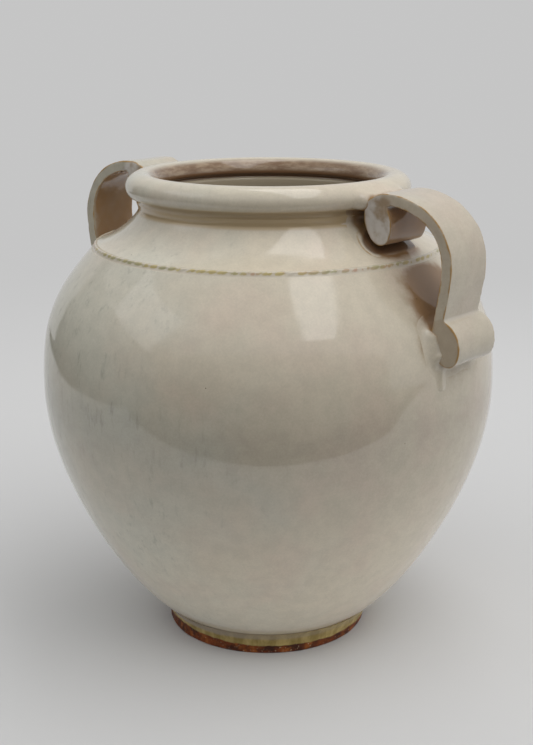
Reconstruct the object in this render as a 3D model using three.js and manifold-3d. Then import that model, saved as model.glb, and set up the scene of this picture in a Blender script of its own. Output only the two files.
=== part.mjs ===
// A two-handled earthenware pot with a cream glaze, in millimetres, +Z up.
// The origin is the middle of the foot ring's flat underside.
// The strap handles lie on the X axis: the right one on +X, the left one on -X.
import * as THREE from 'three';
import { mergeVertices } from 'three/addons/utils/BufferGeometryUtils.js';
import Module from 'manifold-3d';

const wasm = await Module();
wasm.setup();

// How the pieces meet
const seam = 0.3; // gap left between two pieces that touch
const rollPress = 1.8; // how far the soft rolls were pushed against the pot

// Foot ring
const footRadius = 61; // outside, on the ground
const footTopRadius = 62; // outside, under the belly
const footHeight = 12;
const footWidth = 14; // of the ring, from outside to inside
const footWear = 1.2; // rounding of the lower edges

// Belly, one thrown piece with its floor
const wall = 7.5;
const floorThickness = 9;
const floorCove = 12; // rounding between the floor and the wall, inside
const bellyRadius = 135;
const bellyZ = 157; // height of the widest place
const underReach = 23.5; // how flat the underside leaves the foot
const underRise = 12.1;
const bellyLowFullness = 60; // how long the wall stays upright below the widest place
const bellyHighFullness = 42.5; // and above it
const shoulderRadius = 104; // where the belly ends under the collar
const shoulderRise = 79; // from the widest place up to there
const shoulderReach = 20.6; // slope of the shoulder where it meets the collar
const shoulderDrop = 23.9;

// Collar, the upper shoulder and the neck
const collarWall = 7.8;
const collarRise = 4.6; // how steeply the collar leaves the cord
const collarTall = 22; // from the end of the belly up to the neck's narrowest place
const neckRadius = 76.4; // there
const neckRise = 7.6; // how long the neck stays upright below it
const neckTall = 4; // from it up to the rim
const neckFlare = 1; // how far the neck opens again under the rim

// Rolled rim
const rimOverhang = 6.5; // outside of the roll, out from the top of the neck
const rimLift = 1; // underside of the roll, above its joint with the neck
const rimRollWidth = 19;
const rimRollHeight = 16.2;
const rimOuterTuck = 38; // degrees below level where the roll runs into the neck, outside
const rimInnerTuck = 50; // and inside

// Notched cord around the shoulder
const cordRadius = 1.5;
const cordNotches = 108;
const cordNotchDepth = 0.55;
const cordSlant = 1.1; // how far a notch leans along the cord, up or down from its middle
const cordLedge = 0.6; // how far the collar reaches out over the cord

// Strap handles
const strapWidth = 36;
const strapThickness = 7.2;
const strapEdge = 1; // rounding of the strap's long edges
const strapTopDrop = 6.8; // middle of the strap's top below the rim's top
const strapTopOut = 4; // highest place of the strap, out from the upper roll's middle
const strapOutDrop = 40.6; // outermost place of the strap, below the rim's top
const strapInset = 0.4; // outermost middle of the strap, in from the lower roll's middle
const strapTopFullness = 27;
const strapSideFullness = 17.3;
const strapRootInset = 4.4; // where the strap meets the lower roll
const strapRootRise = 10.3;
const strapStartInset = 1.8; // where it starts on the upper roll
const strapStartDrop = 3.6;
const strapStartFullness = 3; // how soon it levels out there

// Rolls at the ends of a strap, half sizes
const upperRollThick = 8.5;
const upperRollTall = 13.6;
const upperRollTuck = 2.2; // its top below the top face of the strap
const upperRollLean = 14; // degrees, top towards the neck
const lowerRollThick = 8.7;
const lowerRollTall = 12.8;
const lowerRollLean = 18;
const lowerRollDrop = 36.5; // middle of the lower roll below the end of the belly

// The left handle was set on a little higher, with a tighter upper roll
const leftLift = 4.3;
const leftUpperRollTall = 11;
const leftTurn = 181; // degrees round the pot from the right handle

// Clay worked into the joints: a lump in the neck behind the upper roll, in half sizes
const upperLutingThick = 6.5;
const upperLutingWidth = 15;
const upperLutingTall = 8;
const upperLutingRise = 3.5; // its middle above the narrowest place of the neck
const upperLutingOut = 4.5; // and out from the neck

// and a pad on the belly round the lower roll
const lowerLutingThickness = 2.4;
const lowerLutingMargin = 3; // seen round the roll
const lowerLutingCorner = 7;

// Fineness
const turnSteps = 60; // facets round the pot
const lowSteps = 9;
const highSteps = 6;
const collarSteps = 6;
const rimStep = 24; // degrees of the roll for one facet
const coveSteps = 3;
const strapSteps = 7;
const startSteps = 2;
const rootSteps = 4;
const rollSteps = 11; // half the sides of a roll
const lumpSteps = 16;
const cornerSteps = 4;
const cordSides = 5;

// Colours
const creamGlaze = { color: 0xd6cfbe, roughness: 0.22, metalness: 0 };
const edgeGlaze = { color: 0xb9a67c, roughness: 0.3, metalness: 0 };
const bareClay = { color: 0x8b4a28, roughness: 0.85, metalness: 0 };

const point = (r, z) => new THREE.Vector2(r, z);
const radians = THREE.MathUtils.degToRad;

function bezier(start, startPull, endPull, end, steps) {
  return new THREE.CubicBezierCurve(start, startPull, endPull, end).getPoints(steps);
}

// Moves a line of points sideways, to its right when walked from first to last.
function offsetLine(points, distance) {
  return points.map((place, index) => {
    const before = points[Math.max(index - 1, 0)];
    const after = points[Math.min(index + 1, points.length - 1)];
    const along = after.clone().sub(before).normalize();
    return point(place.x + along.y * distance, place.y - along.x * distance);
  });
}

function radiusAt(points, z) {
  const next = points.findIndex((place) => place.y >= z);
  if (next < 1) return points[next < 0 ? points.length - 1 : 0].x;
  const low = points[next - 1];
  const high = points[next];
  return THREE.MathUtils.mapLinear(z, low.y, high.y, low.x, high.x);
}

// Shared vertices and no collapsed triangles, so that the mesh is a closed skin.
function closedSkin(geometry) {
  geometry.deleteAttribute('normal');
  geometry.deleteAttribute('uv');
  const merged = mergeVertices(geometry);
  const corners = merged.index.array;
  const kept = [];
  for (let i = 0; i < corners.length; i += 3) {
    const [a, b, c] = corners.subarray(i, i + 3);
    if (a !== b && b !== c && c !== a) kept.push(a, b, c);
  }
  merged.setIndex(kept);
  return merged;
}

function turned(profile) {
  return closedSkin(new THREE.LatheGeometry(profile, turnSteps).rotateX(Math.PI / 2));
}

// A side view in X and Z, as a block of the given width across Y.
function slab(shape, width, edge, steps) {
  const settings = {
    depth: width - 2 * edge,
    bevelThickness: edge,
    bevelSize: edge,
    bevelOffset: -edge,
    bevelSegments: 1,
    curveSegments: steps,
  };
  const geometry = new THREE.ExtrudeGeometry(shape, settings);
  geometry.rotateX(Math.PI / 2).translate(0, width / 2 - edge, 0);
  return closedSkin(geometry);
}

function solidOf(geometry) {
  const vertProperties = new Float32Array(geometry.attributes.position.array);
  const triVerts = new Uint32Array(geometry.index.array);
  return new wasm.Manifold(new wasm.Mesh({ numProp: 3, vertProperties, triVerts }));
}

function geometryOf(solid) {
  const { vertProperties, triVerts } = solid.getMesh();
  const geometry = new THREE.BufferGeometry();
  geometry.setAttribute('position', new THREE.BufferAttribute(vertProperties, 3));
  geometry.setIndex(new THREE.BufferAttribute(triVerts, 1));
  return geometry;
}

// Heights and radii that follow, from the foot up
const bodyBottomZ = footHeight + seam;
const shoulderZ = bellyZ + shoulderRise;
const neckZ = shoulderZ + collarTall;
const neckTopZ = neckZ + neckTall;
const rimJoint = point(neckRadius + neckFlare, neckTopZ + seam);
const rimRadius = rimJoint.x + rimOverhang;
const rimTopZ = rimJoint.y + rimLift + rimRollHeight;

// Outlines of the pot
const bellyOutline = [
  ...bezier(
    point(footTopRadius, bodyBottomZ),
    point(footTopRadius + underReach, bodyBottomZ + underRise),
    point(bellyRadius, bellyZ - bellyLowFullness),
    point(bellyRadius, bellyZ),
    lowSteps,
  ),
  ...bezier(
    point(bellyRadius, bellyZ),
    point(bellyRadius, bellyZ + bellyHighFullness),
    point(shoulderRadius + shoulderReach, shoulderZ - shoulderDrop),
    point(shoulderRadius, shoulderZ),
    highSteps,
  ).slice(1),
];

// The cord lies on the belly's top edge, with its outer half proud of the shoulder.
const cordZ = shoulderZ + seam + cordRadius;
const cordRing = shoulderRadius - cordRadius - seam / 2;
const collarFootRadius = cordRing - cordRadius - seam;
const collarStartZ = cordZ + cordRadius + seam;
const collarOutline = bezier(
  point(collarFootRadius + cordLedge, collarStartZ),
  point(collarFootRadius + cordLedge, collarStartZ + collarRise),
  point(neckRadius, neckZ - neckRise),
  point(neckRadius, neckZ),
  collarSteps,
);

const rimHalfWidth = rimRollWidth / 2;
const rimHalfHeight = rimRollHeight / 2;
const rimMiddle = point(rimRadius - rimHalfWidth, rimTopZ - rimHalfHeight);

function rimArc() {
  const turn = 180 + rimInnerTuck + rimOuterTuck;
  const steps = Math.round(turn / rimStep);
  return Array.from({ length: steps + 1 }, (_, index) => {
    const angle = radians(-rimOuterTuck + (turn * index) / steps);
    const r = rimMiddle.x + rimHalfWidth * Math.cos(angle);
    return point(r, rimMiddle.y + rimHalfHeight * Math.sin(angle));
  });
}

function footRing() {
  const inner = footRadius - footWidth;
  const outline = [
    point(inner + footWear, 0),
    point(footRadius - footWear, 0),
    point(footRadius, footWear),
    point(footTopRadius, footHeight),
    point(inner, footHeight),
    point(inner, footWear),
    point(inner + footWear, 0),
  ];
  return turned(outline);
}

// The body's top is level, so its inside runs on along its slope up to that level.
function bodyInside() {
  const inside = offsetLine(bellyOutline, -wall);
  const last = inside[inside.length - 1];
  const along = last.clone().sub(inside[inside.length - 2]).normalize();
  const left = (shoulderZ - last.y) / along.y;
  return [...inside, point(last.x + along.x * left, shoulderZ)];
}

const bodyMouthRadius = bodyInside().at(-1).x;

function body() {
  const floorZ = bodyBottomZ + floorThickness;
  const wallInside = bodyInside().filter((place) => place.y > floorZ + floorCove);
  const coveRadius = radiusAt(bodyInside(), floorZ + floorCove);
  const cove = new THREE.QuadraticBezierCurve(
    point(coveRadius, floorZ + floorCove),
    point(coveRadius - floorCove / 2, floorZ),
    point(coveRadius - floorCove * 2, floorZ),
  ).getPoints(coveSteps);
  const outline = [
    point(0, bodyBottomZ),
    ...bellyOutline,
    ...wallInside.reverse(),
    ...cove,
    point(0, floorZ),
  ];
  return turned(outline);
}

function collar() {
  const bottomZ = shoulderZ + seam;
  const inside = offsetLine(collarOutline, -collarWall)
    .filter((place) => place.y > bottomZ + seam && place.x < bodyMouthRadius)
    .reverse();
  const outline = [
    point(bodyMouthRadius, bottomZ),
    point(collarFootRadius, bottomZ),
    point(collarFootRadius, collarStartZ),
    ...collarOutline,
    point(rimJoint.x, neckTopZ),
    point(neckRadius - collarWall, neckTopZ),
    ...inside,
    point(bodyMouthRadius, bottomZ),
  ];
  return turned(outline);
}

function rim() {
  const throat = point(neckRadius - collarWall, rimJoint.y);
  return turned([throat, rimJoint, ...rimArc(), throat]);
}

// Two rings of points a notch: one on the swelling between notches, one in the notch.
function notchedCord() {
  const rings = cordNotches * 2;
  const positions = [];
  const indices = [];
  for (let ring = 0; ring < rings; ring += 1) {
    const radius = ring % 2 ? cordRadius - cordNotchDepth : cordRadius;
    for (let side = 0; side < cordSides; side += 1) {
      const round = (2 * Math.PI * side) / cordSides;
      const r = cordRing + radius * Math.cos(round);
      const turn = (2 * Math.PI * ring) / rings + (cordSlant * Math.sin(round)) / cordRing;
      positions.push(r * Math.cos(turn), r * Math.sin(turn), cordZ + radius * Math.sin(round));
      const a = ring * cordSides + side;
      const b = ring * cordSides + ((side + 1) % cordSides);
      const c = ((ring + 1) % rings) * cordSides + ((side + 1) % cordSides);
      const d = ((ring + 1) % rings) * cordSides + side;
      indices.push(a, d, c, a, c, b);
    }
  }
  const geometry = new THREE.BufferGeometry();
  geometry.setAttribute('position', new THREE.Float32BufferAttribute(positions, 3));
  geometry.setIndex(indices);
  return geometry;
}

// Everything within the pot's outside, larger by grow, to trim what is pressed onto it.
function potBlock(grow) {
  const outside = [
    ...offsetLine(bellyOutline, grow),
    ...offsetLine(collarOutline, grow),
    ...offsetLine([rimJoint, ...rimArc()], grow).filter((place) => place.x > rimMiddle.x),
  ];
  const top = outside[outside.length - 1].y;
  return solidOf(turned([point(0, bodyBottomZ - grow), ...outside, point(0, top)]));
}

// The places of a handle's rolls, from the pot that carries them.
function handlePlan(lift, upperTall) {
  const lowerZ = shoulderZ - lowerRollDrop + lift;
  const strapTopZ = rimTopZ - strapTopDrop + lift;
  const upperRho = rimRadius + upperRollThick - rollPress;
  const lowerRho = radiusAt(bellyOutline, lowerZ) + lowerRollThick - rollPress;
  const upperZ = strapTopZ + strapThickness / 2 - upperRollTuck - upperTall;
  return { lift, upperTall, strapTopZ, upper: point(upperRho, upperZ), lower: point(lowerRho, lowerZ) };
}

function rollShape(middle, thick, tall, lean) {
  const shape = new THREE.Shape();
  return shape.absellipse(middle.x, middle.y, thick, tall, 0, 2 * Math.PI, false, radians(lean));
}

function strapMiddle({ upper, lower, strapTopZ, lift }) {
  const top = point(upper.x + strapTopOut, strapTopZ);
  const start = point(upper.x - strapStartInset, strapTopZ - strapStartDrop);
  const out = point(lower.x - strapInset, rimTopZ - strapOutDrop + lift);
  const root = point(lower.x - strapRootInset, lower.y + strapRootRise);
  const over = new THREE.QuadraticBezierCurve(start, point(top.x - strapStartFullness, strapTopZ), top);
  return [
    ...over.getPoints(startSteps),
    ...bezier(
      top,
      point(top.x + strapTopFullness, top.y),
      point(out.x, out.y + strapSideFullness),
      out,
      strapSteps,
    ).slice(1),
    ...bezier(
      out,
      point(out.x, out.y - (out.y - root.y) / 3),
      point(root.x + (out.x - root.x) / 3, root.y + (out.y - root.y) / 3),
      root,
      rootSteps,
    ).slice(1),
    point(root.x, lower.y + lowerRollTall / 2),
  ];
}

// The strap and its two rolls as one piece of clay, larger all round by grow.
function handleBlock(plan, grow) {
  const middle = strapMiddle(plan);
  const half = strapThickness / 2 + grow;
  const ribbon = new THREE.Shape([...offsetLine(middle, half), ...offsetLine(middle, -half).reverse()]);
  const width = strapWidth + 2 * grow;
  const { upper, lower, upperTall } = plan;
  const upperShape = rollShape(upper, upperRollThick + grow, upperTall + grow, upperRollLean);
  const lowerShape = rollShape(lower, lowerRollThick + grow, lowerRollTall + grow, lowerRollLean);
  return solidOf(slab(ribbon, width, strapEdge, 1))
    .add(solidOf(slab(upperShape, width, strapEdge, rollSteps)))
    .add(solidOf(slab(lowerShape, width, strapEdge, rollSteps)));
}

function handle(plan) {
  return handleBlock(plan, 0).subtract(potBlock(seam));
}

function upperLuting(plan) {
  const lump = new THREE.SphereGeometry(1, lumpSteps, lumpSteps / 2).rotateX(Math.PI / 2);
  lump.scale(upperLutingThick, upperLutingWidth, upperLutingTall);
  lump.translate(neckRadius + upperLutingOut, 0, neckZ + upperLutingRise);
  return solidOf(closedSkin(lump)).subtract(potBlock(seam)).subtract(handleBlock(plan, seam));
}

function roundedBox(halfLong, halfWide, corner) {
  const box = new THREE.Shape();
  const quarter = Math.PI / 2;
  [[1, 1], [-1, 1], [-1, -1], [1, -1]].forEach(([x, y], index) => {
    const start = quarter * index;
    const middle = point(x * (halfLong - corner), y * (halfWide - corner));
    box.absarc(middle.x, middle.y, corner, start, start + quarter, false);
  });
  return box;
}

// A skin of clay on the belly, cut to a rounded outline that reaches past the roll all round.
function lowerLuting(plan) {
  const halfWidth = strapWidth / 2 + lowerLutingMargin;
  const halfTall = lowerRollTall + lowerLutingMargin;
  const footprint = roundedBox(halfTall, halfWidth, lowerLutingCorner);
  const settings = { depth: 2 * halfTall, bevelEnabled: false, curveSegments: cornerSteps };
  const prism = new THREE.ExtrudeGeometry(footprint, settings);
  prism.translate(0, 0, -halfTall).rotateY(Math.PI / 2 - radians(lowerRollLean));
  prism.translate(plan.lower.x, 0, plan.lower.y);
  return solidOf(closedSkin(prism))
    .intersect(potBlock(lowerLutingThickness))
    .subtract(potBlock(seam))
    .subtract(handleBlock(plan, seam));
}

const pot = new THREE.Group();

function addPiece(parent, name, geometry, finish) {
  geometry.computeVertexNormals();
  const mesh = new THREE.Mesh(geometry, new THREE.MeshStandardMaterial(finish));
  mesh.name = name;
  parent.add(mesh);
}

function addHandle(side, plan, turn) {
  const group = new THREE.Group();
  group.rotation.z = turn;
  addPiece(group, `handle_${side}`, geometryOf(handle(plan)), creamGlaze);
  addPiece(group, `luting_${side}_upper`, geometryOf(upperLuting(plan)), creamGlaze);
  addPiece(group, `luting_${side}_lower`, geometryOf(lowerLuting(plan)), creamGlaze);
  pot.add(group);
}

addPiece(pot, 'foot_ring', footRing(), bareClay);
addPiece(pot, 'body', body(), creamGlaze);
addPiece(pot, 'shoulder_cord', notchedCord(), edgeGlaze);
addPiece(pot, 'collar', collar(), creamGlaze);
addPiece(pot, 'rim', rim(), creamGlaze);
addHandle('right', handlePlan(0, upperRollTall), 0);
addHandle('left', handlePlan(leftLift, leftUpperRollTall), radians(leftTurn));

export default pot;
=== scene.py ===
import math
import bmesh
import bpy
from mathutils import Matrix, Vector, noise
from mathutils.bvhtree import BVHTree
from mathutils.geometry import interpolate_bezier


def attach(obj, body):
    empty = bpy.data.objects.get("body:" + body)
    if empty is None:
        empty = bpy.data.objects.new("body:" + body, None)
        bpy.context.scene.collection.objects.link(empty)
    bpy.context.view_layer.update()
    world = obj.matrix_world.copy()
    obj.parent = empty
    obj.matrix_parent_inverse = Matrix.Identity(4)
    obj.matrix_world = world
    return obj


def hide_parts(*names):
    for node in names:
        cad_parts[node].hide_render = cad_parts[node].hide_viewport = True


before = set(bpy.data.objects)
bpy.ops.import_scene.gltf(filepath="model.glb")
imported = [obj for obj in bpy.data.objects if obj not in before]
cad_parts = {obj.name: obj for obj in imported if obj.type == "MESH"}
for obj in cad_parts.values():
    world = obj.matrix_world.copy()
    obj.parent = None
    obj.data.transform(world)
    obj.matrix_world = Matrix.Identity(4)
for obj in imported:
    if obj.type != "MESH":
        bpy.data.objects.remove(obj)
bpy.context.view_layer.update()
mm = 0.001

cameraSetup = {"azimuth": 40, "distance": 761.7, "height": 366.2, "pitch": 15.35,
               "lens": 62.67, "sensor": 36, "shift": -0.0023}
cameraAngle = cameraSetup["azimuth"] - 90  # where the camera stands, counted round from +X


# Helpers for shapes. Sizes in the dictionaries are millimetres, the mesh is in metres.

def curve(start, startPull, endPull, end, steps):
    handles = [Vector((r, 0, z)) * mm for r, z in (start, startPull, endPull, end)]
    return interpolate_bezier(*handles, steps + 1)


def points(*places):
    return [Vector((r, 0, z)) * mm for r, z in places]


def beside(line, distance):
    # the line moved to its right, as walked from first to last
    moved = []
    for index, place in enumerate(line):
        before = line[max(index - 1, 0)]
        after = line[min(index + 1, len(line) - 1)]
        along = (after - before).normalized()
        moved.append(place + Vector((along.z, 0, -along.x)) * distance * mm)
    return moved


def limited(value):
    return min(max(value, 0), 1)


def eased(value):
    value = limited(value)
    return value * value * (3 - 2 * value)


def turned(outline, steps):
    bm = bmesh.new()
    verts = [bm.verts.new(place) for place in outline]
    edges = [bm.edges.new(pair) for pair in zip(verts, verts[1:])]
    bmesh.ops.spin(bm, geom=verts + edges, cent=(0, 0, 0), axis=(0, 0, 1), dvec=(0, 0, 0),
                   angle=math.tau, steps=steps, use_merge=True, use_duplicate=False)
    bmesh.ops.remove_doubles(bm, verts=bm.verts, dist=1e-6)
    bmesh.ops.recalc_face_normals(bm, faces=bm.faces)
    return bm


handMade = {"sway": 0.3, "swayLength": 48, "ring": 0.08, "ringPitch": 7}


def uneven(place):
    # what the potter's hands left: the wall sways in and out a little, with faint rings
    radius = math.hypot(place.x, place.y)
    if radius < mm:
        return place.copy()
    sway = noise.noise(place / (handMade["swayLength"] * mm)) - 1
    slow = 1 / (12 * handMade["ringPitch"] * mm)
    ring = noise.noise(Vector((place.x * slow, place.y * slow, place.z / (handMade["ringPitch"] * mm)))) - 1
    move = (sway * handMade["sway"] + ring * handMade["ring"]) * mm
    return place + Vector((place.x, place.y, 0)) * (move / radius)


def makeUneven(bm):
    for vert in bm.verts:
        vert.co = uneven(vert.co)


def smoothAll(bm, times):
    for _ in range(times):
        bmesh.ops.smooth_vert(bm, verts=bm.verts, factor=0.5,
                              use_axis_x=True, use_axis_y=True, use_axis_z=True)


def markGlaze(bm, reach, fullHeight):
    # glaze runs thin where the clay stands out from its surroundings and gathers where it sinks
    thin = bm.verts.layers.float.new("thin")
    pool = bm.verts.layers.float.new("pool")
    soft = bm.copy()
    smoothAll(soft, reach)
    bm.normal_update()
    for vert, ghost in zip(bm.verts, soft.verts):
        rise = (vert.co - ghost.co).dot(vert.normal) / (fullHeight * mm)
        vert[thin] = limited(rise)
        vert[pool] = limited(-rise)
    soft.free()


paintedShadeSizes = {"rays": 26, "start": 1.5, "side": 80, "lowest": 150, "softening": 10,
                "dimBelow": 184, "dimFade": 12, "dimLevel": 0.3}
noise.seed_set(4)
paintedShadeRays = [noise.random_unit_vector() for _ in range(paintedShadeSizes["rays"])]
paintedShadeLean = Vector((0, 0, 0.5))  # most of the light comes from above


def markPaintedShade(bm, surroundings, reach=60):
    # how much handles and pot hide each spot within the reach, counted with rays leaning to the light above:
    # painted shade, brown, in hidden corners and under the handles
    s = paintedShadeSizes
    paintedShade = bm.verts.layers.float.new("paintedShade")
    inside = bm.verts.layers.float.get("inside")
    bm.normal_update()
    reach *= mm
    close = [vert for vert in bm.verts if abs(vert.co.y) < s["side"] * mm and vert.co.z > s["lowest"] * mm
             and not (inside and vert[inside] > 0.5)]
    for vert in close:
        start = vert.co + vert.normal * s["start"] * mm
        shade = 0
        for ray in paintedShadeRays:
            distance = surroundings.ray_cast(start, vert.normal * 1.02 + ray + paintedShadeLean, reach)[3]
            if distance is not None:
                shade += 1 - (distance / reach) ** 2
        # the painted shade fades out below the lower rolls
        above = eased((vert.co.z / mm - s["dimBelow"]) / s["dimFade"])  # little brown below the lower rolls
        vert[paintedShade] = shade / len(paintedShadeRays) * (s["dimLevel"] + (1 - s["dimLevel"]) * above)
    for _ in range(s["softening"]):
        around = [sum(edge.other_vert(vert)[paintedShade] for edge in vert.link_edges) / len(vert.link_edges)
                  for vert in close]
        for vert, value in zip(close, around):
            vert[paintedShade] = value


def addPiece(name, bm, node, material, sharp=40):
    for edge in bm.edges:
        if len(edge.link_faces) == 2 and edge.calc_face_angle() > math.radians(sharp):
            edge.smooth = False
    for face in bm.faces:
        face.smooth = True
    mesh = bpy.data.meshes.new(name)
    bm.to_mesh(mesh)
    bm.free()
    piece = bpy.data.objects.new(name, mesh)
    bpy.context.scene.collection.objects.link(piece)
    mesh.materials.append(material)
    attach(piece, "root")
    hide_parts(node)
    print("made", name, len(mesh.polygons), "faces")


# Helpers for materials

def addNode(tree, kind, settings=None, values=None):
    made = tree.nodes.new("ShaderNode" + kind)
    for key, value in (settings or {}).items():
        setattr(made, key, value)
    for key, value in (values or {}).items():
        if isinstance(value, bpy.types.NodeSocket):
            tree.links.new(value, made.inputs[key])
        else:
            made.inputs[key].default_value = value
    return made


def cloud(tree, place, size, detail=3, roughness=0.5, shift=0, stretch=(1, 1, 1)):
    # soft noise whose blots are about that many millimetres
    moved = addNode(tree, "Mapping", values={
        "Vector": place, "Location": (shift, shift * 2, -shift), "Scale": stretch})
    values = {"Vector": moved.outputs[0], "Scale": 1 / (size * mm), "Detail": detail, "Roughness": roughness}
    return addNode(tree, "TexNoise", values=values).outputs["Fac"]


def between(tree, value, low, high, first=0.0, last=1.0):
    values = {"Value": value, "From Min": low, "From Max": high, "To Min": first, "To Max": last}
    return addNode(tree, "MapRange", {"interpolation_type": "SMOOTHSTEP"}, values).outputs[0]


def calc(tree, operation, first, second=0.0):
    return addNode(tree, "Math", {"operation": operation}, {0: first, 1: second}).outputs[0]


def mixed(tree, factor, first, second, blend="MIX"):
    settings = {"data_type": "RGBA", "blend_type": blend}
    return addNode(tree, "Mix", settings, {0: factor, 6: first, 7: second}).outputs[2]


def shaded(tree, colour, level):
    grey = addNode(tree, "CombineColor", values={0: level, 1: level, 2: level}).outputs[0]
    return mixed(tree, 1.0, colour, grey, "MULTIPLY")


def named(tree, attribute):
    return addNode(tree, "Attribute", {"attribute_name": attribute}).outputs["Fac"]


def startMaterial(name):
    material = bpy.data.materials.new(name)
    material.use_nodes = True
    tree = material.node_tree
    tree.nodes.clear()
    place = addNode(tree, "TexCoord").outputs["Object"]
    return material, tree, place


def endMaterial(tree, shader):
    output = addNode(tree, "OutputMaterial")
    tree.links.new(shader.outputs[0], output.inputs["Surface"])


# Cream tin glaze over red clay

# the brown, near-black, olive and band colours are painted shade, and the ledge colour is painted light
glazeLook = {
    "cream": (0.565, 0.505, 0.40, 1), "cool": (0.535, 0.515, 0.43, 1), "pink": (0.57, 0.483, 0.388, 1),
    "ochre": (0.34, 0.20, 0.065, 1), "umber": (0.13, 0.065, 0.03, 1), "pooled": (0.55, 0.52, 0.47, 1),
    "shadeBrown": (0.33, 0.19, 0.085, 1), "creviceShade": (0.10, 0.055, 0.03, 1), "oliveUnderShade": (0.48, 0.37, 0.225, 1),
    "milk": (0.56, 0.53, 0.50, 1), "tan": (0.27, 0.19, 0.115, 1), "mark": (0.06, 0.05, 0.035, 1),
    "inside": (0.17, 0.10, 0.055, 1), "insidePale": (0.31, 0.225, 0.145, 1),
    "overhangShade": (0.15, 0.08, 0.04, 1), "ledgeLight": (0.34, 0.285, 0.20, 1),
    "coolSide": (-0.77, -0.64, 0.0),  # the way that the colder, streaked side faces
}
# painted light and shade by height, as height and level: darker round the middle of the belly, paler towards
# the foot
paintedLightByHeight = [(24, 1.20), (45, 1.25), (72, 1.19), (96, 1.09), (116, 0.97), (134, 0.88), (150, 0.78),
             (158, 0.78), (168, 0.87), (182, 0.94), (196, 1.0)]
paintedLightSpan = {"lowest": 0, "highest": 220, "dark": 0.7, "pale": 1.3, "wander": 22}
# dark marks in the glaze: place and size
marks = [((-134.5, -35.2, 191), 1.1), ((-128.5, -41.5, 171), 0.9), ((-122, -48, 133), 1.4)]


def paintedLightLevel(tree, place):
    # painted bands of light and shade by height, with edges that wander
    span = paintedLightSpan
    high = addNode(tree, "SeparateXYZ", values={0: place}).outputs["Z"]
    centred = calc(tree, "SUBTRACT", cloud(tree, place, 30, 4, shift=31), 0.5)
    wander = calc(tree, "MULTIPLY", centred, span["wander"] * mm)
    values = {"Value": calc(tree, "ADD", high, wander),
              "From Min": span["lowest"] * mm, "From Max": span["highest"] * mm}
    ramp = addNode(tree, "ValToRGB", values={0: addNode(tree, "MapRange", values=values).outputs[0]})
    steps = ramp.color_ramp.elements
    while len(steps) < len(paintedLightByHeight):
        steps.new(0.5)
    for step, (height, level) in zip(steps, paintedLightByHeight):
        step.position = (height - span["lowest"]) / (span["highest"] - span["lowest"])
        grey = (level - span["dark"]) / (span["pale"] - span["dark"])
        step.color = (grey, grey, grey, 1)
    spread = calc(tree, "MULTIPLY", ramp.outputs[0], span["pale"] - span["dark"])
    return calc(tree, "ADD", spread, span["dark"])


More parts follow.
